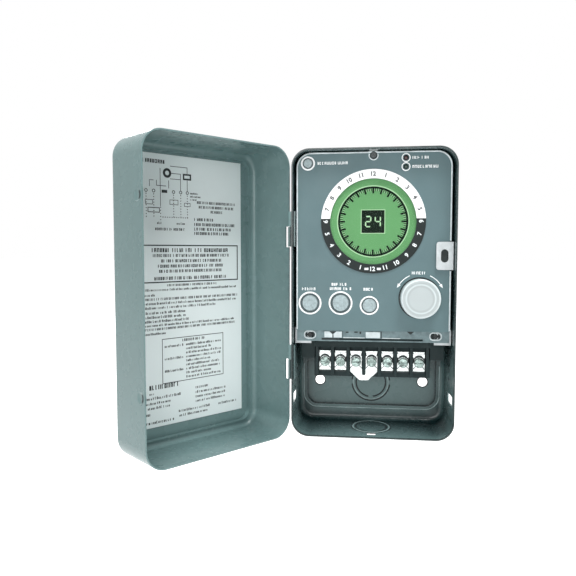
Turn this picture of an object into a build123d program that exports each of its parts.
"""Surface-mounted 24-hour electronic time control in a steel enclosure with a hinged cover.

Frame: +X to the right, the front faces -Y, +Z up. The back of the case lies in the plane Y = 0.
The origin is midway between the two lower wall-mounting holes, on that back plane.
All sizes are millimetres. "Depth" is measured from the rim of the case towards the wall, and
heights are measured from the middle of the case, so that both read as they would on a drawing.
"""
from build123d import *
from math import cos, radians, tan
import os

# ---------------------------------------------------------------- driving dimensions
# deep-drawn case
sheet = 0.9
case_width = 112.0
case_height = 200.0
case_depth = 44.0
case_corner = 12.5
case_draft = 2.0
case_bend = 4.5
pad_rise = 2.5
pad_inset_x = 7.0
pad_inset_z = 12.5
pad_corner = 9.0
pad_bend = 1.2

# wall-mounting holes, on the raised pad of the case back
wall_hole_radius = 3.6
wall_hole_spacing = 77.0
wall_hole_above_bottom = 31.5
upper_hole_below_top = 31.5

# knock-outs for 3/4 inch and 1/2 inch conduit
outer_knockout_radius = 14.1
inner_knockout_radius = 11.1
knockout_cut = 0.4
knockout_tie = 3.2
back_knockout_below_middle = 69.5
bottom_knockout_depth = 24.0

# small openings in the case walls
rim_slot_width = 5.8
rim_slot_length = 5.4
rim_slot_depth = 5.6
side_slot_height = 6.5
side_slot_length = 17.0
side_slot_depth = 6.0
side_slot_level = -74.0
side_hole_radius = 1.5
side_hole_level = -57.5
side_hole_behind_slot = 4.0
side_tongue_width = 8.0
side_tongue_height = 9.0
side_tongue_cut = 0.6

# cover, hinged at the left edge of the case
cover_gap = 0.6
cover_overlap = 4.5
cover_depth = 42.7
cover_corner = 14.0
cover_draft = 0.5
cover_bend = 4.0
cover_raise = 4.0
cover_raise_inset = 5.0
cover_raise_bend = 1.6
cover_open_angle = 130.5
detent_levels = (62.6, -56.5)
detent_from_rim = 5.0
detent_reach = 4.0
detent_outside = 0.7
detent_inside = 0.3

# wiring label inside the cover
label_width = 92.4
label_height = 182.0
label_from_hinge_side = 11.0
label_above_middle = 3.0
label_thickness = 0.2
label_glue = 0.02

# hinge: rolled knuckles on loose pins
hinge_levels = (45.3, -48.1)
knuckle_radius = 1.6
hinge_pin_radius = 0.75
hinge_running_clearance = 0.06
hinge_seat_clearance = 0.02
hinge_off_cover_wall = 0.15
cover_knuckle_length = 10.4
case_knuckle_length = 13.6
knuckle_end_gap = 0.4
knuckle_swing_gap = 0.4
cover_notch_depth = 3.5
leaf_depth = 14.0
leaf_start = 2.0

# front panel
panel_depth = 8.0
panel_sheet = 1.0
panel_side_gap = 1.52
panel_top_gap = 0.485
panel_bottom = -25.8
panel_corner = 10.5
panel_flange_depth = 8.0
panel_flange_below_top = 14.3
panel_flange_above_bottom = 5.8

# dial
dial_below_panel_top = 47.9
dial_outer_radius = 35.9
dial_inner_radius = 29.6
scale_thickness = 0.5
scale_split = 2.0
window_behind_panel_face = 0.1
window_gap = 0.2
window_step = 1.0
lcd_side = 62.0
lcd_thickness = 2.8
lcd_behind_panel = 0.4
lcd_frame_wall = 2.4
lcd_frame_lip = 0.3
lcd_frame_corner = 2.0
lcd_ledge = 4.0

# push buttons; the upper one is placed from the top left corner of the panel
manual_button_from_side = 8.1
manual_button_below_top = 7.5
manual_button_radius = 2.9
set_button_from_side = 9.7
lower_buttons = (
    ("start_button", -22.1, -6.4, 5.6),
    ("clear_button", -2.1, -7.9, 4.6),
)
set_button_level = -6.6
set_button_radius = 5.4
button_travel = 0.6
button_proud = 0.9
button_side_gap = 0.3
button_flange = 0.6
button_flange_thickness = 0.8
button_stem_radius = 1.75
button_stem_reach = 0.9
button_edge = 0.35
switch_side = 6.2
switch_corner = 0.6
switch_height = 2.7
switch_bore_gap = 0.3
switch_bore_spare = 0.6

# indicator lamps
lamp_x = 22.0
lamps_below_panel_top = (4.6, 10.7)
lamp_above_board = 2.0
lamp_radius = 1.5
lamp_proud = 0.7
lamp_gap = 0.3
lamp_flange = 0.4
lamp_flange_thickness = 1.0
lamp_lead_radius = 0.25
lamp_lead_spacing = 1.27

# adjusting knob and encoder
knob_from_side = 21.0
knob_level = -2.4
knob_radius = 13.4
knob_height = 9.2
knob_panel_gap = 0.7
knob_skirt = 1.7
knob_top = 2.2
knob_hub_radius = 5.2
knob_edge = 1.1
knob_hub_gap = 0.4
knob_groove_outer = 0.82
knob_groove_inner = 0.76
knob_groove_depth = 0.3
shaft_radius = 3.0
shaft_running_clearance = 0.08
shaft_seat_clearance = 0.03
encoder_width = 12.4
encoder_height = 13.2
encoder_corner = 0.8
encoder_back_wall = 1.0
shaft_end_gap = 0.6
bushing_radius = 3.5
bushing_proud = 2.1
bushing_gap = 0.3
encoder_nut_flats = 10.0
encoder_nut_thickness = 1.3

# boards and module housing
board_behind_panel = 5.0
board_thickness = 1.6
board_side_gap = 0.4
board_spacing = 14.4
housing_wall = 1.2
housing_flange_gap = 1.1
housing_below_panel_top = 1.1
housing_floor_gap = 3.0
housing_above_panel_bottom = 2.3
housing_corner = 6.0
insulation_thickness = 0.4
insulation_inset = 2.0
lamp_lead_gap = 0.1
spacer_radius = 2.6
spacer_inset_x = 4.0
spacer_above_board_bottom = 3.2
spacer_below_board_top = 24.0
boss_radius = 3.0
boss_bore_radius = 1.1

# components on the boards
component_gap = 0.6
header_x = -28.0
header_level = -0.5
header_length = 20.0
header_width = 3.0
relay_places = (18.0, 37.0)
relay_level = 6.0
relay_width = 16.0
relay_length = 29.0
relay_height = 13.6
relay_corner = 0.8
transformer_x = -24.0
transformer_level = 52.0
core_width = 36.0
core_height = 30.0
core_leg = 5.0
core_window_width = 8.0
core_window_height = 18.0
coil_beyond_core = 1.4
coil_gap = 0.3
coil_corner = 1.5
capacitor_places = ((22.0, 56.0, 8.0, 12.5), (38.0, 42.0, 5.0, 11.0), (40.0, 62.0, 5.0, 11.0))
chip_x = -30.0
chip_level = 20.0
chip_side = 12.0
chip_thickness = 1.6
chip_corner = 0.6
chip_leads = 11
chip_lead_pitch = 1.0
chip_lead_length = 1.4
chip_lead_width = 0.45
chip_lead_thickness = 0.4
chip_lead_root = 0.1
battery_x = 30.0
battery_level = 76.0
battery_radius = 10.0
battery_thickness = 3.2
battery_gap = 0.4
holder_wall = 1.6
holder_base = 1.0
holder_lip = 0.8
holder_mouth = 12.0

# top bracket and panel screw
bracket_sheet = 1.2
top_bracket_width = 16.0
top_bracket_drop = 7.4
top_bracket_reach = 13.0
top_bracket_side_room = 1.0
top_bracket_room_below = 2.4
panel_screw_below_top = 2.7
panel_screw_radius = 1.25
panel_screw_head = 2.5
panel_screw_head_height = 1.5
panel_screw_length = 7.0
screw_hole_gap = 0.35
screw_head_round = 0.45
cross_recess_length = 1.1
cross_recess_width = 0.2
thread_gap = 0.05

# cross strip and side brackets below the panel
strip_sheet = 1.2
strip_behind_panel_edge = 1.8
strip_height = 9.6
strip_side_gap = 1.94
strip_slot_from_end = 9.2
strip_slot_below_panel = 3.4
strip_slot_length = 6.9
strip_slot_height = 4.1
strip_screw_head = 1.8
strip_screw_radius = 1.2
strip_screw_length = 5.0
strip_tab_rise = 0.7
strip_tab_gap = 0.5
strip_tab_height = 4.9
strip_tab_corner = 0.6
strip_tabs = ((-27.2, 13.0), (0.6, 10.6))
strip_window_width = 58.0
strip_window_height = 1.4
strip_window_x = 6.0
strip_window_above_edge = 1.6
side_bracket_below_strip_top = 0.5
side_bracket_below_strip = 1.8
side_bracket_sheet = 1.0
side_bracket_reach = 16.0
side_bracket_tab = 11.4

# catch plate on the right-hand wall
catch_level = 26.7
catch_height = 19.2
catch_reach = 11.4
catch_sheet = 1.0
catch_before_panel = 1.8
catch_foot_depth = 14.0
catch_corner = 2.0
catch_eye_width = 5.0
catch_eye_height = 9.0
catch_eye_from_edge = 5.6
catch_panel_gap = 0.5
rivet_radius = 1.5
rivet_head_radius = 2.6
rivet_head_height = 0.7
rivet_spread = 5.0

# terminal block
terminal_count = 7
terminal_pitch = 11.11
terminals_below_panel = 23.6
block_end_margin = 2.315
block_shelf_above_screws = 11.2
block_bottom_below_screws = 11.2
block_behind_panel = 5.0
barrier_height = 6.0
block_thickness = 11.0
barrier_width = 1.8
barrier_below_screws = 9.0
lug_past_slot = 6.5
lug_bottom_above_screws = 2.4
lug_step = 2.0
lug_thickness = 10.0
block_screw_gap = 0.6
barrier_foot = 0.5
lug_bracket_step = 0.5
lug_below_housing = 1.0
screw_bore_spare = 0.5
plate_width = 8.7
plate_height = 15.4
plate_thickness = 1.2
clamp_thickness = 0.8
clamp_width = 8.2
clamp_height = 12.6
clamp_waist_radius = 3.4
clamp_waist_offset = 0.72
clamp_waist_above_screw = 1.6
terminal_screw_head = 3.5
terminal_screw_head_height = 2.4
terminal_screw_radius = 1.75
terminal_screw_length = 9.0
terminal_screw_edge = 0.8
screw_slot = 0.8
screw_slot_depth = 1.1
plate_corner = 0.5
link_first_terminal = 2
link_top = 4.2
link_knee = 7.2
link_throat = 1.8
link_drop = 13.5
link_foot_width = 6.0
link_barrier_gap = 0.3
lead_width = 3.0
lead_thickness = 0.8
lead_gap = 0.3
lead_from_seat = 6.0
lead_above_screw = 5.2
lead_tail = 4.0

# ---------------------------------------------------------------- derived places
rim = -case_depth
middle = case_height / 2 - wall_hole_above_bottom
slope = tan(radians(case_draft))
cover_width = case_width + 2 * (cover_gap + sheet)
cover_height = case_height + 2 * (cover_gap + sheet)
cover_rim = rim + cover_overlap
hinge_x = -(cover_width / 2 - sheet / 2 + hinge_off_cover_wall)
hinge_y = cover_rim + sheet
hinge_axis = Axis((hinge_x, hinge_y, 0), (0, 0, 1))


def wall_inside_x(depth):
    """Half the inside width of the drafted case at a depth behind the rim."""
    return case_width / 2 - sheet / cos(radians(case_draft)) - depth * slope


def wall_outside_x(depth):
    """Half the outside width of the drafted case at a depth behind the rim."""
    return case_width / 2 - depth * slope


# panel and what is placed from it
panel_back = panel_depth + panel_sheet
panel_width = 2 * (wall_inside_x(panel_depth) - panel_side_gap)
panel_top = case_height / 2 - case_width / 2 + wall_inside_x(panel_back) - panel_top_gap
panel_screw_level = panel_top - panel_screw_below_top
dial_level = panel_top - dial_below_panel_top
lamp_levels = [panel_top - drop for drop in lamps_below_panel_top]
knob_x = panel_width / 2 - knob_from_side
catch_depth = panel_depth - catch_before_panel
buttons = (
    ("manual_button", manual_button_from_side - panel_width / 2,
     panel_top - manual_button_below_top, manual_button_radius),
    ("set_button", set_button_from_side - panel_width / 2, set_button_level, set_button_radius),
) + lower_buttons

# module behind the panel
lcd_start = panel_back + lcd_behind_panel
board_front = panel_back + board_behind_panel
display_back = board_front + board_thickness
switch_front = board_front - switch_height
stem_end = switch_front + button_stem_reach
power_board_front = display_back + board_spacing
housing_back = case_depth - pad_rise - sheet - housing_floor_gap
housing_width = panel_width - 2 * (panel_sheet + housing_flange_gap)
housing_top = panel_top - housing_below_panel_top
housing_bottom = panel_bottom + housing_above_panel_bottom

# cross strip, side brackets and terminal block below the panel
strip_back = panel_back + strip_sheet
strip_width = 2 * (wall_inside_x(strip_back) - strip_side_gap)
strip_top = panel_bottom + strip_behind_panel_edge
strip_bottom = strip_top - strip_height
strip_slot_x = strip_width / 2 - strip_slot_from_end
strip_slot_level = panel_bottom - strip_slot_below_panel
side_bracket_top = strip_top - side_bracket_below_strip_top
side_bracket_bottom = strip_bottom - side_bracket_below_strip
terminal_level = panel_bottom - terminals_below_panel
terminal_places = [(i - (terminal_count - 1) / 2) * terminal_pitch for i in range(terminal_count)]
block_front = panel_back + block_behind_panel
block_seat = block_front + barrier_height
block_back = block_seat + block_thickness
block_top = housing_bottom
block_bottom = terminal_level - block_bottom_below_screws
block_shelf_level = terminal_level + block_shelf_above_screws
block_width = terminal_count * terminal_pitch + 2 * block_end_margin
plate_front = block_seat - plate_thickness
clamp_front = plate_front - clamp_thickness


# ---------------------------------------------------------------- shape helpers
def facing(x, depth, level):
    """A work plane that faces the viewer at a depth behind the rim and a level from mid-height."""
    return Plane(origin=(x, rim + depth, middle + level), x_dir=(1, 0, 0), z_dir=(0, -1, 0))


def plate(x, level, width, height, front, back, corner=0.0):
    """A flat plate between two depths, with square or rounded corners."""
    outline = RectangleRounded(width, height, corner) if corner else Rectangle(width, height)
    return extrude(facing(x, back, level) * outline, back - front)


def block(x_low, x_high, front, back, bottom, top):
    """A rectangular block given by its faces: x limits, depth limits and level limits."""
    middle_x = (x_low + x_high) / 2
    return plate(middle_x, (bottom + top) / 2, x_high - x_low, top - bottom, front, back)


def rod(x, level, radius, front, back):
    """A round rod along the depth direction."""
    return extrude(facing(x, back, level) * Circle(radius), back - front)


def side_rod(depth, level, radius, x_low, x_high):
    """A round rod along X."""
    plane = Plane(origin=(x_low, rim + depth, middle + level), x_dir=(0, 1, 0), z_dir=(1, 0, 0))
    return extrude(plane * Circle(radius), x_high - x_low)


def upright(x, y, radius, bottom, top):
    """A round rod along Z between two levels."""
    plane = Plane(origin=(x, y, middle + bottom), x_dir=(1, 0, 0), z_dir=(0, 0, 1))
    return extrude(plane * Circle(radius), top - bottom)


def drawn_box(y_start, direction, width, height, corner, depth, bend, draft):
    """A drawn pan as a full solid: rounded rectangle, drafted walls, rounded far edge."""
    plane = Plane(origin=(0, y_start, middle), x_dir=(1, 0, 0), z_dir=(0, direction, 0))
    body = extrude(plane * RectangleRounded(width, height, corner), depth, taper=draft)
    far_face = body.faces().sort_by(Axis.Y)[-1 if direction > 0 else 0]
    return fillet(far_face.edges(), bend)


def knockout_ring(plane, radius, tie_angle):
    """The cut that frees a knock-out disc, broken by two ties that hold it."""
    ring = Circle(radius + knockout_cut / 2) - Circle(radius - knockout_cut / 2)
    ties = Rot(0, 0, tie_angle) * Rectangle(2.5 * radius, knockout_tie)
    return extrude(plane * (ring - ties), 1.5 * sheet, both=True)


def mirrored(shape):
    """The same shape on the other side of the middle plane."""
    return mirror(shape, Plane.YZ)


def group(shapes):
    """Identical pieces kept as separate solids in one file."""
    return Compound(children=list(shapes))


def turned_open(shape):
    """A cover piece swung from closed to the open position in which it is stored."""
    return shape.rotate(hinge_axis, -cover_open_angle)


def save(name, shape):
    export_step(shape, f"parts/{name}.step")


# ---------------------------------------------------------------- hinge places
def hinge_span(level):
    """Lowest and highest level of one hinge: the case knuckle below, the cover knuckle above."""
    half = (cover_knuckle_length + case_knuckle_length + knuckle_end_gap) / 2
    return level - half, level + half


# ---------------------------------------------------------------- case
def make_case():
    """Deep-drawn case with a raised mounting pad, knock-outs and hinge windows."""
    shoulder = case_depth - pad_rise
    outer = drawn_box(rim, 1, case_width, case_height, case_corner, shoulder, case_bend, case_draft)
    inner = drawn_box(rim, 1, case_width - 2 * sheet, case_height - 2 * sheet, case_corner - sheet,
                      shoulder - sheet, case_bend - sheet, case_draft)
    pad_width = case_width - 2 * pad_inset_x
    pad_height = case_height - 2 * pad_inset_z
    pad = plate(0, 0, pad_width, pad_height, shoulder - sheet, case_depth, pad_corner)
    pad = fillet(pad.faces().sort_by(Axis.Y)[-1].edges(), pad_bend)
    hollow = plate(0, 0, pad_width - 2 * sheet, pad_height - 2 * sheet,
                   shoulder - 2 * sheet, case_depth - sheet, pad_corner - sheet)
    shell = outer + pad - inner - hollow

    for x in (-wall_hole_spacing / 2, wall_hole_spacing / 2):
        shell -= rod(x, -middle, wall_hole_radius, shoulder - 2 * sheet, case_depth + 1)
    upper_hole_level = case_height / 2 - upper_hole_below_top
    shell -= rod(0, upper_hole_level, wall_hole_radius, shoulder - 2 * sheet, case_depth + 1)

    back_plane = facing(0, case_depth - sheet / 2, -back_knockout_below_middle)
    bottom_z = middle - case_height / 2 + bottom_knockout_depth * slope + sheet / 2
    bottom_plane = Plane(origin=(0, rim + bottom_knockout_depth, bottom_z),
                         x_dir=(1, 0, 0), z_dir=(0, 0, -1))
    for plane in (back_plane, bottom_plane):
        shell -= knockout_ring(plane, outer_knockout_radius, 0)
        shell -= knockout_ring(plane, inner_knockout_radius, 90)

    slot_end = rim_slot_depth + rim_slot_length
    for end in (-1, 1):
        edge = end * case_height / 2
        shell -= block(-rim_slot_width / 2, rim_slot_width / 2, rim_slot_depth, slot_end,
                       edge - 2, edge + 2)

    for cut in side_openings():
        shell = shell - cut - mirrored(cut)

    for level in hinge_levels:
        low, high = hinge_span(level)
        reach = knuckle_radius + knuckle_swing_gap
        centre = hinge_y - rim
        shell -= block(hinge_x, -wall_inside_x(leaf_depth), centre - reach, centre + reach,
                       low - knuckle_end_gap, high + knuckle_end_gap)

    for spread in (-rivet_spread, rivet_spread):
        shell -= side_rod(catch_rivet_depth(), catch_level + spread, rivet_radius + thread_gap,
                          wall_inside_x(case_depth), case_width / 2 + 1)
    return shell


def side_openings():
    """Right-hand wall: the small hole, the lanced tongue under it and the long slot."""
    x_low = wall_inside_x(case_depth) - 1
    x_high = case_width / 2 + 1
    centre = side_slot_depth + side_slot_length / 2 + side_hole_behind_slot
    hole = side_rod(centre, side_hole_level, side_hole_radius, x_low, x_high)
    slot_low = side_slot_level - side_slot_height / 2
    slot = block(x_low, x_high, side_slot_depth, side_slot_depth + side_slot_length,
                 slot_low, slot_low + side_slot_height)
    tongue_top = side_hole_level - 2 * side_hole_radius
    half = side_tongue_width / 2
    outline = block(x_low, x_high, centre - half, centre + half,
                    tongue_top - side_tongue_height, tongue_top)
    inside = block(x_low - 1, x_high + 1, centre - half + side_tongue_cut,
                   centre + half - side_tongue_cut,
                   tongue_top - side_tongue_height - 1, tongue_top - side_tongue_cut)
    return hole, slot, outline - inside


def make_hinge_leaves():
    """Leaves inside the left-hand wall; each reaches out through a window to its knuckle."""
    leaves = []
    face = -(wall_inside_x(leaf_depth) - thread_gap)
    for level in hinge_levels:
        low, high = hinge_span(level)
        knuckle_top = low + case_knuckle_length
        leaf = block(face, face + sheet, leaf_start, leaf_depth, low, high)
        ring = upright(hinge_x, hinge_y, knuckle_radius, low, knuckle_top)
        back = hinge_y - rim + knuckle_radius
        arm = block(hinge_x, face + sheet / 2, back - sheet, back, low, knuckle_top)
        bore = upright(hinge_x, hinge_y, hinge_pin_radius + hinge_seat_clearance, low, high)
        leaves.append(leaf + ring + arm - bore)
    return group(leaves)


def make_hinge_pins():
    """Straight pins that run through the case knuckle and the cover knuckle above it."""
    pins = []
    for level in hinge_levels:
        low, high = hinge_span(level)
        pins.append(upright(hinge_x, hinge_y, hinge_pin_radius, low, high))
    return group(pins)


# ---------------------------------------------------------------- catch plate
def catch_rivet_depth():
    return catch_depth + catch_sheet + catch_foot_depth / 2


def catch_foot_face():
    """Outer face of the catch plate's foot, which lies on the right-hand wall."""
    return wall_inside_x(catch_depth + catch_foot_depth) - thread_gap


def make_catch_plate():
    """Plated catch that stands in front of the panel, with an eye, and a foot on the wall."""
    right = catch_foot_face()
    front = plate(right - catch_reach / 2, catch_level, catch_reach, catch_height,
                  catch_depth, catch_depth + catch_sheet)
    left_edges = front.edges().filter_by(Axis.Y).sort_by(Axis.X)[:2]
    front = fillet(left_edges, catch_corner)
    foot = block(right - catch_sheet, right, catch_depth, catch_depth + catch_foot_depth,
                 catch_level - catch_height / 2, catch_level + catch_height / 2)
    eye_x = right - catch_reach + catch_eye_from_edge
    eye = extrude(facing(eye_x, catch_depth + 2, catch_level)
                  * Rot(0, 0, 90) * SlotOverall(catch_eye_height, catch_eye_width), 4)
    body = front + foot - eye
    for spread in (-rivet_spread, rivet_spread):
        body -= side_rod(catch_rivet_depth(), catch_level + spread, rivet_radius + thread_gap,
                         right - 3, right + 3)
    return body


def make_catch_rivets():
    """Two rivets through the foot of the catch plate and the case wall."""
    depth = catch_rivet_depth()
    inner_face = catch_foot_face() - catch_sheet
    outer_face = wall_outside_x(depth - rivet_head_radius) + thread_gap
    rivets = []
    for spread in (-rivet_spread, rivet_spread):
        level = catch_level + spread
        shank = side_rod(depth, level, rivet_radius, inner_face, outer_face)
        inside = side_rod(depth, level, rivet_head_radius, inner_face - rivet_head_height, inner_face)
        outside = side_rod(depth, level, rivet_head_radius, outer_face, outer_face + rivet_head_height)
        rivets.append(shank + inside + outside)
    return group(rivets)


# ---------------------------------------------------------------- panel and its brackets
def make_front_panel():
    """Painted sheet panel with side flanges and its openings."""
    level = (panel_top + panel_bottom) / 2
    body = plate(0, level, panel_width, panel_top - panel_bottom, panel_depth, panel_back)
    body = fillet(body.edges().filter_by(Axis.Y).sort_by(Axis.Z)[-2:], panel_corner)
    edge = panel_width / 2
    flange = block(edge - panel_sheet, edge, panel_depth, panel_back + panel_flange_depth,
                   panel_bottom + panel_flange_above_bottom, panel_top - panel_flange_below_top)
    body = body + flange + mirrored(flange)
    body -= rod(0, dial_level, dial_inner_radius, panel_depth - 1, panel_back + 1)
    for name, x, level, radius in buttons:
        body -= rod(x, level, radius + button_side_gap, panel_depth - 1, panel_back + 1)
    for level in lamp_levels:
        body -= rod(lamp_x, level, lamp_radius + lamp_gap, panel_depth - 1, panel_back + 1)
    body -= rod(knob_x, knob_level, bushing_radius + bushing_gap, panel_depth - 1, panel_back + 1)
    body -= rod(0, panel_screw_level, panel_screw_radius + screw_hole_gap,
                panel_depth - 1, panel_back + 1)
    half = catch_height / 2 + catch_panel_gap
    left = catch_foot_face() - catch_sheet - rivet_head_height - catch_panel_gap
    body -= block(left, edge + 1, panel_depth - 1, panel_back + panel_flange_depth + 1,
                  catch_level - half, catch_level + half)
    return body


def make_top_bracket():
    """Bent bracket under the top wall that takes the panel screw."""
    depth_end = panel_back + top_bracket_reach
    ceiling = case_height / 2 - sheet / cos(radians(case_draft)) - depth_end * slope - thread_gap
    half = top_bracket_width / 2
    tab = block(-half, half, panel_back, panel_back + bracket_sheet,
                ceiling - top_bracket_drop, ceiling)
    foot = block(-half, half, panel_back, depth_end, ceiling - bracket_sheet, ceiling)
    hole = rod(0, panel_screw_level, panel_screw_radius + thread_gap,
               panel_back - 1, panel_back + bracket_sheet + 1)
    return tab + foot - hole


def cross_head_screw(x, level, seat, head_radius, head_height, radius, length):
    """A pan-head screw with a cross recess; the head sits in front of its seat depth."""
    head = rod(x, level, head_radius, seat - head_height, seat)
    front = head.faces().sort_by(Axis.Y)[0]
    head = fillet(front.edges(), screw_head_round * head_height)
    body = head + rod(x, level, radius, seat, seat + length)
    arm = cross_recess_length * head_radius
    blade = cross_recess_width * head_radius
    for width, height in ((arm, blade), (blade, arm)):
        body -= plate(x, level, width, height, seat - head_height - 1, seat - head_height / 2)
    return body


def make_panel_screw():
    return cross_head_screw(0, panel_screw_level, panel_depth, panel_screw_head,
                            panel_screw_head_height, panel_screw_radius, panel_screw_length)


def make_cross_strip():
    """Plated strip behind the lower edge of the panel, with tabs and two oval slots."""
    body = plate(0, (strip_top + strip_bottom) / 2, strip_width, strip_top - strip_bottom,
                 panel_back, strip_back)
    tab_level = panel_bottom - strip_tab_gap - strip_tab_height / 2
    for x, width in strip_tabs:
        body += plate(x, tab_level, width, strip_tab_height, panel_back - strip_tab_rise,
                      panel_back, strip_tab_corner)
    for side in (-1, 1):
        slot = facing(side * strip_slot_x, strip_back + 1, strip_slot_level)
        body -= extrude(slot * SlotOverall(strip_slot_length, strip_slot_height), strip_sheet + 2)
    body -= plate(strip_window_x, strip_bottom + strip_window_above_edge, strip_window_width,
                  strip_window_height, panel_back - 1, strip_back + 1)
    return body


def make_side_brackets():
    """Angle brackets on the side walls that carry the cross strip and the terminal block."""
    front = strip_back
    reach_end = front + side_bracket_reach
    face = wall_inside_x(reach_end) - thread_gap
    foot = block(face - side_bracket_sheet, face, front, reach_end,
                 side_bracket_bottom, side_bracket_top)
    tab = block(face - side_bracket_tab, face, front, front + side_bracket_sheet,
                side_bracket_bottom, side_bracket_top)
    hole = rod(strip_slot_x, strip_slot_level, strip_screw_radius + thread_gap,
               front - 1, front + side_bracket_sheet + 1)
    right = foot + tab - hole
    return group([right, mirrored(right)])


def make_strip_screws():
    """Screws that pass the oval slots and hold the strip to the side brackets."""
    return group(cross_head_screw(side * strip_slot_x, strip_slot_level, strip_back, strip_screw_head,
                                  strip_sheet, strip_screw_radius, strip_screw_length)
                 for side in (-1, 1))


# ---------------------------------------------------------------- dial and display
def dial_scale(above):
    """One part of the 24-hour scale: the light upper arc or the dark lower arc."""
    front = panel_depth - scale_thickness
    ring = rod(0, dial_level, dial_outer_radius, front, panel_depth)
    ring -= rod(0, dial_level, dial_inner_radius, front - 1, panel_depth + 1)
    split = dial_level + scale_split
    reach = dial_outer_radius + 1
    low, high = (split, split + reach) if above else (dial_level - reach, split)
    return ring & block(-reach, reach, front - 1, panel_depth + 1, low, high)


def make_display_window():
    """Clear round window in the panel opening, with a flange behind the panel edge."""
    radius = dial_inner_radius - window_gap
    face = rod(0, dial_level, radius, panel_depth + window_behind_panel_face, panel_back)
    flange = rod(0, dial_level, radius + window_step, panel_back, lcd_start)
    return face + flange


def make_lcd_frame():
    """Square frame that holds the glass against the display board."""
    outside = lcd_side + 2 * (lcd_frame_wall + lcd_frame_lip)
    pocket = lcd_side + 2 * lcd_frame_lip
    body = plate(0, dial_level, outside, outside, lcd_start, board_front,
                 lcd_frame_corner)
    body -= plate(0, dial_level, pocket, pocket, lcd_start - 1, lcd_start + lcd_thickness)
    opening = pocket - 2 * lcd_ledge
    return body - plate(0, dial_level, opening, opening, lcd_start, board_front + 1)


def make_lcd_glass():
    return plate(0, dial_level, lcd_side, lcd_side, lcd_start, lcd_start + lcd_thickness)


# ---------------------------------------------------------------- boards and what they carry
def bracket_clearance(front, back):
    """Room for the top bracket and the panel screw at the top of the module."""
    half = top_bracket_width / 2 + top_bracket_side_room
    low = panel_top - top_bracket_drop - top_bracket_room_below
    return block(-half, half, front, back, low, panel_top + 5)


def module_outline(width, bottom, top, front, back, corner):
    """A plate with rounded upper corners, as the boards and the housing have."""
    body = plate(0, (bottom + top) / 2, width, top - bottom, front, back)
    return fillet(body.edges().filter_by(Axis.Y).sort_by(Axis.Z)[-2:], corner)


def board_size():
    """Width, lowest and highest level of the boards inside the housing."""
    inset = housing_wall + board_side_gap
    return housing_width - 2 * inset, housing_bottom + inset, housing_top - inset


def make_display_board():
    width, bottom, top = board_size()
    body = module_outline(width, bottom, top, board_front, board_front + board_thickness,
                          housing_corner - housing_wall)
    body -= bracket_clearance(board_front - 1, board_front + 5)
    for lead_x, level in lamp_leads():
        body -= rod(lead_x, level, lamp_lead_radius + lamp_lead_gap, board_front - 1, board_front + 5)
    return body


def make_power_board():
    width, bottom, top = board_size()
    body = module_outline(width, bottom, top, power_board_front,
                          power_board_front + board_thickness, housing_corner - housing_wall)
    return body - bracket_clearance(power_board_front - 1, power_board_front + 5)


def corner_places():
    """Four places near the corners of the boards."""
    width, bottom, top = board_size()
    x = width / 2 - spacer_inset_x
    levels = (bottom + spacer_above_board_bottom, top - spacer_below_board_top)
    return [(side * x, level) for side in (-1, 1) for level in levels]


def make_spacers():
    """Spacers between the back of the panel and the display board."""
    return group(rod(x, level, spacer_radius, panel_back, board_front)
                 for x, level in corner_places())


def make_housing():
    """Moulded tray behind the panel, with bosses under the power board."""
    body = module_outline(housing_width, housing_bottom, housing_top, panel_back, housing_back,
                          housing_corner)
    inner = module_outline(housing_width - 2 * housing_wall, housing_bottom + housing_wall,
                           housing_top - housing_wall, panel_back - 1,
                           housing_back - housing_wall, housing_corner - housing_wall)
    body -= inner
    boss_front = power_board_front + board_thickness
    for x, level in corner_places():
        body += rod(x, level, boss_radius, boss_front, housing_back - housing_wall)
        body -= rod(x, level, boss_bore_radius, boss_front - 1, housing_back - housing_wall)
    body -= bracket_clearance(panel_back - 1, panel_back + top_bracket_reach + 1)
    for x in terminal_places:
        body -= lead_strip(x, lead_gap)
    return body


def make_insulation():
    """Insulating sheet on the back of the housing."""
    return module_outline(housing_width - 2 * insulation_inset, housing_bottom + insulation_inset,
                          housing_top - insulation_inset, housing_back,
                          housing_back + insulation_thickness, housing_corner - insulation_inset)


def switch_body(x, level):
    """A tactile switch with the bore in which the button's stem works."""
    body = plate(x, level, switch_side, switch_side, switch_front, board_front, switch_corner)
    bore = button_stem_radius + switch_bore_gap
    bore_end = stem_end + button_travel + switch_bore_spare
    return body - rod(x, level, bore, switch_front - 1, bore_end)


def button(x, level, radius):
    """Cap, retaining flange behind the panel and stem, moulded in one."""
    flange_front = panel_back + button_side_gap
    flange_back = flange_front + button_flange_thickness
    cap = rod(x, level, radius, panel_depth - button_proud, flange_front)
    cap = fillet(cap.faces().sort_by(Axis.Y)[0].edges(), button_edge)
    flange = rod(x, level, radius + button_flange, flange_front, flange_back)
    stem = rod(x, level, button_stem_radius, flange_back, stem_end)
    return cap + flange + stem


def lamp_leads():
    """Places of the lamp leads in the display board."""
    return [(lamp_x + side * lamp_lead_spacing, level)
            for level in lamp_levels for side in (-1, 1)]


def lamp(level):
    """A round lamp with a domed lens, a base flange and two leads into the board."""
    base = board_front - lamp_above_board
    front = panel_depth - lamp_proud
    body = rod(lamp_x, level, lamp_radius, front + lamp_radius, base)
    dome = Pos(lamp_x, rim + front + lamp_radius, middle + level) * Sphere(lamp_radius)
    flange = rod(lamp_x, level, lamp_radius + lamp_flange, base - lamp_flange_thickness, base)
    body = body + dome + flange
    for lead_x, lead_level in lamp_leads():
        if lead_level == level:
            body += rod(lead_x, level, lamp_lead_radius, base, board_front + board_thickness)
    return body


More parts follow.
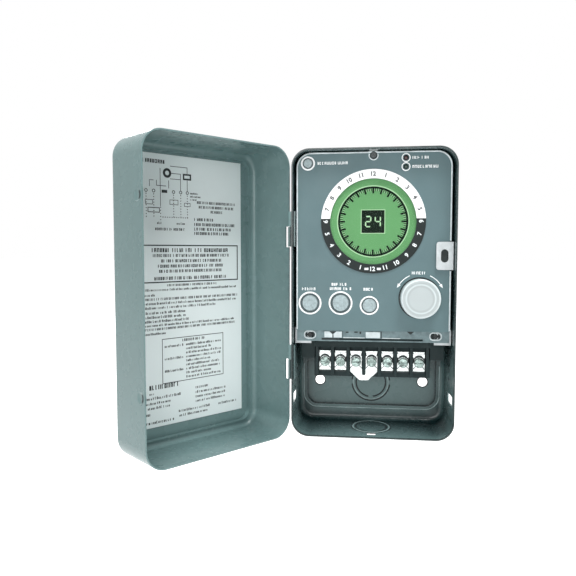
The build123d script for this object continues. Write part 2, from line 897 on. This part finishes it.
def make_encoder_body():
    """Rotary encoder with a threaded bushing through the panel."""
    front = panel_back + bushing_gap
    body = plate(knob_x, knob_level, encoder_width, encoder_height, front, board_front,
                 encoder_corner)
    body += rod(knob_x, knob_level, bushing_radius, panel_depth - bushing_proud, front)
    bore = shaft_radius + shaft_running_clearance
    return body - rod(knob_x, knob_level, bore, panel_depth - bushing_proud - 1,
                      board_front - encoder_back_wall)


def make_encoder_nut():
    """Thin hexagon nut that clamps the encoder's bushing to the panel."""
    nut = extrude(facing(knob_x, panel_depth, knob_level)
                  * RegularPolygon(encoder_nut_flats / 2, 6, major_radius=False),
                  encoder_nut_thickness)
    return nut - rod(knob_x, knob_level, bushing_radius + shaft_seat_clearance,
                     panel_depth - 5, panel_depth + 1)


def make_encoder_shaft():
    """Shaft from inside the encoder to inside the knob's hub."""
    knob_front = panel_depth - knob_panel_gap - knob_height
    return rod(knob_x, knob_level, shaft_radius, knob_front + knob_top,
               board_front - encoder_back_wall - shaft_end_gap)


def make_knob():
    """Round knob: a skirt, a dished top and a hub that sits on the shaft."""
    back = panel_depth - knob_panel_gap
    front = back - knob_height
    body = rod(knob_x, knob_level, knob_radius, front, back)
    body = fillet(body.faces().sort_by(Axis.Y)[0].edges(), knob_edge)
    body -= rod(knob_x, knob_level, knob_radius - knob_skirt, front + knob_top, back + 1)
    hub_back = panel_depth - max(bushing_proud, encoder_nut_thickness) - knob_hub_gap
    body += rod(knob_x, knob_level, knob_hub_radius, front + knob_top / 2, hub_back)
    body -= rod(knob_x, knob_level, shaft_radius + shaft_seat_clearance,
                front + knob_top - shaft_seat_clearance, back + 1)
    groove = Circle(knob_groove_outer * knob_radius) - Circle(knob_groove_inner * knob_radius)
    return body - extrude(facing(knob_x, front + knob_groove_depth, knob_level) * groove, 1)


def make_board_header():
    """Pin header that joins the display board to the power board."""
    return plate(header_x, header_level, header_length, header_width, display_back,
                 power_board_front)


def make_relays():
    front = power_board_front - relay_height
    return group(plate(x, relay_level, relay_width, relay_length, front, power_board_front,
                       relay_corner) for x in relay_places)


def make_transformer_core():
    """Laminated core: a closed rectangle with two windows round the centre leg."""
    front = display_back + component_gap + coil_beyond_core
    core = plate(transformer_x, transformer_level, core_width, core_height, front,
                 power_board_front - coil_beyond_core)
    centre_leg = core_width / 2 - core_leg - core_window_width
    for side in (-1, 1):
        window_x = transformer_x + side * (centre_leg + core_window_width / 2)
        core -= plate(window_x, transformer_level, core_window_width, core_window_height,
                      front - 1, power_board_front)
    return core


def make_transformer_coil():
    """Winding on the core's centre leg, which stands on the power board."""
    front = display_back + component_gap
    centre_leg = 2 * (core_width / 2 - core_leg - core_window_width)
    width = centre_leg + 2 * (core_window_width - coil_gap)
    coil = plate(transformer_x, transformer_level, width, core_window_height - 2 * coil_gap,
                 front, power_board_front, coil_corner)
    leg_room = plate(transformer_x, transformer_level, centre_leg + 2 * coil_gap, core_height,
                     front + coil_beyond_core - coil_gap,
                     power_board_front - coil_beyond_core + coil_gap)
    return coil - leg_room


def make_capacitors():
    return group(rod(x, level, radius, power_board_front - height, power_board_front)
                 for x, level, radius, height in capacitor_places)


def make_logic_chip():
    """Controller chip with two rows of leads, on the back of the display board."""
    body = plate(chip_x, chip_level, chip_side, chip_side, display_back,
                 display_back + chip_thickness, chip_corner)
    reach = chip_side / 2 + chip_lead_length / 2 - chip_lead_root
    for side in (-1, 1):
        for step in range(chip_leads):
            level = chip_level + (step - (chip_leads - 1) / 2) * chip_lead_pitch
            body += plate(chip_x + side * reach, level, chip_lead_length, chip_lead_width,
                          display_back, display_back + chip_lead_thickness)
    return body


def make_battery_holder():
    """Open clip on the back of the display board for the clock's coin cell."""
    wall = battery_radius + battery_gap + holder_wall
    back = display_back + holder_base + battery_thickness + holder_lip
    ring = rod(battery_x, battery_level, wall, display_back, back)
    ring -= rod(battery_x, battery_level, battery_radius + battery_gap,
                display_back + holder_base, back + 1)
    mouth = holder_mouth / 2
    return ring - block(battery_x - mouth, battery_x + mouth, display_back + holder_base,
                        back + 1, battery_level - wall - 1, battery_level - mouth / 2)


def make_battery():
    return rod(battery_x, battery_level, battery_radius, display_back + holder_base,
               display_back + holder_base + battery_thickness)


# ---------------------------------------------------------------- terminal block
def make_terminal_block():
    """Barrier block: upper body under the housing, seat for the plates, ribs and side lugs."""
    half = block_width / 2
    body = block(-half, half, block_front, block_back, block_shelf_level, block_top)
    body += block(-half, half, block_seat, block_back, block_bottom, block_top)
    for i in range(terminal_count + 1):
        x = (i - terminal_count / 2) * terminal_pitch
        body += block(x - barrier_width / 2, x + barrier_width / 2, block_front,
                      block_seat + barrier_foot, terminal_level - barrier_below_screws,
                      block_shelf_level + barrier_foot)
    tab_back = strip_back + side_bracket_sheet
    lug_back = block_front + lug_thickness
    lug_end = strip_slot_x + lug_past_slot
    lug = block(half - barrier_foot, lug_end, block_front + lug_step, lug_back,
                terminal_level + lug_bottom_above_screws, block_top - lug_below_housing)
    lug += block(half - barrier_foot, lug_end, tab_back, lug_back,
                 side_bracket_bottom + lug_bracket_step, block_top - lug_below_housing)
    screw_room = rod(strip_slot_x, strip_slot_level, strip_screw_radius + block_screw_gap,
                     tab_back - 1, tab_back + strip_screw_length + 1)
    body = body + lug + mirrored(lug) - screw_room - mirrored(screw_room)
    for x in terminal_places:
        body -= rod(x, terminal_level, terminal_screw_radius + thread_gap, block_seat - 1,
                    clamp_front + terminal_screw_length + screw_bore_spare)
        body -= lead_strip(x, thread_gap)
    return body


def lead_strip(x, gap):
    """The flat lead of one terminal, widened by a gap where it only passes through."""
    left = x - lead_width / 2 - gap
    right = x + lead_width / 2 + gap
    depth = block_seat + lead_from_seat
    foot = terminal_level + lead_above_screw
    top = housing_bottom + housing_wall + board_side_gap + lead_tail
    strip = block(left, right, block_seat, depth + lead_thickness + gap,
                  foot - gap, foot + lead_thickness + gap)
    strip += block(left, right, depth - gap, depth + lead_thickness + gap, foot - gap, top + gap)
    return strip + block(left, right, depth, power_board_front, top - lead_thickness, top)


def make_terminal_leads():
    return group(lead_strip(x, 0) for x in terminal_places)


def make_terminal_plates():
    """Flat plates on which the wires are clamped."""
    hole = terminal_screw_radius + thread_gap
    return group(plate(x, terminal_level, plate_width, plate_height, plate_front, block_seat,
                       plate_corner)
                 - rod(x, terminal_level, hole, plate_front - 1, block_seat + 1)
                 for x in terminal_places)


def make_wire_clamps():
    """Waisted clamp washers on all terminals but the two that the link joins."""
    clamps = []
    for i, x in enumerate(terminal_places):
        if i in (link_first_terminal, link_first_terminal + 1):
            continue
        clamp = plate(x, terminal_level, clamp_width, clamp_height, clamp_front, plate_front)
        clamp -= rod(x, terminal_level, terminal_screw_radius + thread_gap,
                     clamp_front - 1, plate_front + 1)
        for side in (-1, 1):
            offset = clamp_width / 2 + clamp_waist_offset * clamp_waist_radius
            clamp -= rod(x + side * offset, terminal_level + clamp_waist_above_screw,
                         clamp_waist_radius,
                         clamp_front - 1, plate_front + 1)
        clamps.append(clamp)
    return group(clamps)


def make_terminal_screws():
    """Slotted binding-head screws."""
    screws = []
    for x in terminal_places:
        head_front = clamp_front - terminal_screw_head_height
        head = rod(x, terminal_level, terminal_screw_head, head_front, clamp_front)
        head = fillet(head.faces().sort_by(Axis.Y)[0].edges(), terminal_screw_edge)
        shank = rod(x, terminal_level, terminal_screw_radius, clamp_front,
                    clamp_front + terminal_screw_length)
        slot = plate(x, terminal_level, 2 * terminal_screw_head + 1, screw_slot,
                     head_front - 1, head_front + screw_slot_depth)
        screws.append(head + shank - slot)
    return group(screws)


def make_jumper_link():
    """Flat link between two neighbouring terminals, with a drop between them."""
    left = terminal_places[link_first_terminal]
    right = terminal_places[link_first_terminal + 1]
    centre = (left + right) / 2
    half = clamp_width / 2
    top = terminal_level + link_top
    knee = terminal_level - link_knee
    throat = knee + link_throat
    foot = link_foot_width / 2
    link_bottom = terminal_level - link_drop
    points = [(left - half, top), (left + half, top), (left + half, throat),
              (right - half, throat), (right - half, top), (right + half, top),
              (right + half, knee), (centre + foot, link_bottom), (centre - foot, link_bottom),
              (left - half, knee)]
    outline = make_face(Polyline(*points, close=True))
    body = extrude(facing(0, plate_front, 0) * outline, clamp_thickness)
    for x in (left, right):
        body -= rod(x, terminal_level, terminal_screw_radius + thread_gap,
                    clamp_front - 1, plate_front + 1)
    room = barrier_width / 2 + link_barrier_gap
    return body - block(centre - room, centre + room, clamp_front - 1, plate_front + 1,
                        terminal_level - barrier_below_screws - link_barrier_gap, top + 1)


# ---------------------------------------------------------------- cover, built closed
def make_cover():
    """Deep cover: drawn pan with a raised front, rolled knuckles, notches and detents."""
    shoulder = cover_depth - cover_raise
    outer = drawn_box(cover_rim, -1, cover_width, cover_height, cover_corner, shoulder,
                      cover_bend, cover_draft)
    inner = drawn_box(cover_rim, -1, cover_width - 2 * sheet, cover_height - 2 * sheet,
                      cover_corner - sheet, shoulder - sheet, cover_bend - sheet, cover_draft)
    raised_width = cover_width - 2 * cover_raise_inset
    raised_height = cover_height - 2 * cover_raise_inset
    corner = cover_corner - cover_raise_inset
    front = cover_overlap - cover_depth
    raised = plate(0, 0, raised_width, raised_height, front, front + cover_raise + 1, corner)
    raised = fillet(raised.faces().sort_by(Axis.Y)[0].edges(), cover_raise_bend)
    hollow = plate(0, 0, raised_width - 2 * sheet, raised_height - 2 * sheet,
                   front + sheet, front + cover_raise + 2, corner - sheet)
    shell = outer + raised - inner - hollow

    for level in hinge_levels:
        low, high = hinge_span(level)
        knuckle_low = high - cover_knuckle_length
        shell -= block(-cover_width / 2 - 1, -cover_width / 2 + 2,
                       cover_overlap - cover_notch_depth, cover_overlap + 1,
                       low - knuckle_end_gap, knuckle_low)
        shell += upright(hinge_x, hinge_y, knuckle_radius, knuckle_low, high)
        shell -= upright(hinge_x, hinge_y, hinge_pin_radius + hinge_running_clearance,
                         knuckle_low - 1, high + 1)

    wall = cover_width / 2
    for level in detent_levels:
        depth = cover_overlap - detent_from_rim
        place = (rim + depth, middle + level)
        bump_radius = (detent_reach ** 2 + detent_inside ** 2) / (2 * detent_inside)
        bump = Pos(wall - sheet - detent_inside + bump_radius, *place) * Sphere(bump_radius)
        room = 1.5 * detent_reach
        shell += bump & block(wall - sheet - 1, wall - sheet / 2, depth - room, depth + room,
                              level - room, level + room)
        dent_radius = (detent_reach ** 2 + detent_outside ** 2) / (2 * detent_outside)
        shell -= Pos(wall - detent_outside + dent_radius, *place) * Sphere(dent_radius)
    return shell


def make_cover_label():
    """Paper wiring label on the inside of the cover's front."""
    x = -cover_width / 2 + label_from_hinge_side + label_width / 2
    inner_face = cover_overlap - cover_depth + sheet + label_glue
    return plate(x, label_above_middle, label_width, label_height,
                 inner_face, inner_face + label_thickness)


# ---------------------------------------------------------------- write every piece
os.makedirs("parts", exist_ok=True)
save("case_shell", make_case())
save("case_hinge_leaves", make_hinge_leaves())
save("hinge_pins", make_hinge_pins())
save("catch_plate", make_catch_plate())
save("catch_rivets", make_catch_rivets())
save("front_panel", make_front_panel())
save("panel_top_bracket", make_top_bracket())
save("panel_screw", make_panel_screw())
save("cross_strip", make_cross_strip())
save("side_brackets", make_side_brackets())
save("strip_screws", make_strip_screws())
save("day_scale", dial_scale(True))
save("night_scale", dial_scale(False))
save("display_window", make_display_window())
save("lcd_glass", make_lcd_glass())
save("lcd_frame", make_lcd_frame())
save("display_board", make_display_board())
save("board_spacers", make_spacers())
save("tact_switches", group(switch_body(x, level) for name, x, level, radius in buttons))
save("upper_lamp", lamp(lamp_levels[0]))
save("lower_lamp", lamp(lamp_levels[1]))
save("encoder_body", make_encoder_body())
save("encoder_nut", make_encoder_nut())
save("encoder_shaft", make_encoder_shaft())
save("adjust_knob", make_knob())
for name, x, level, radius in buttons:
    save(name, button(x, level, radius))
save("board_header", make_board_header())
save("power_board", make_power_board())
save("relays", make_relays())
save("transformer_core", make_transformer_core())
save("transformer_coil", make_transformer_coil())
save("capacitors", make_capacitors())
save("logic_chip", make_logic_chip())
save("battery_holder", make_battery_holder())
save("backup_battery", make_battery())
save("module_housing", make_housing())
save("insulation_sheet", make_insulation())
save("terminal_block", make_terminal_block())
save("terminal_leads", make_terminal_leads())
save("terminal_plates", make_terminal_plates())
save("wire_clamps", make_wire_clamps())
save("terminal_screws", make_terminal_screws())
save("jumper_link", make_jumper_link())
save("cover_shell", turned_open(make_cover()))
save("cover_label", turned_open(make_cover_label()))
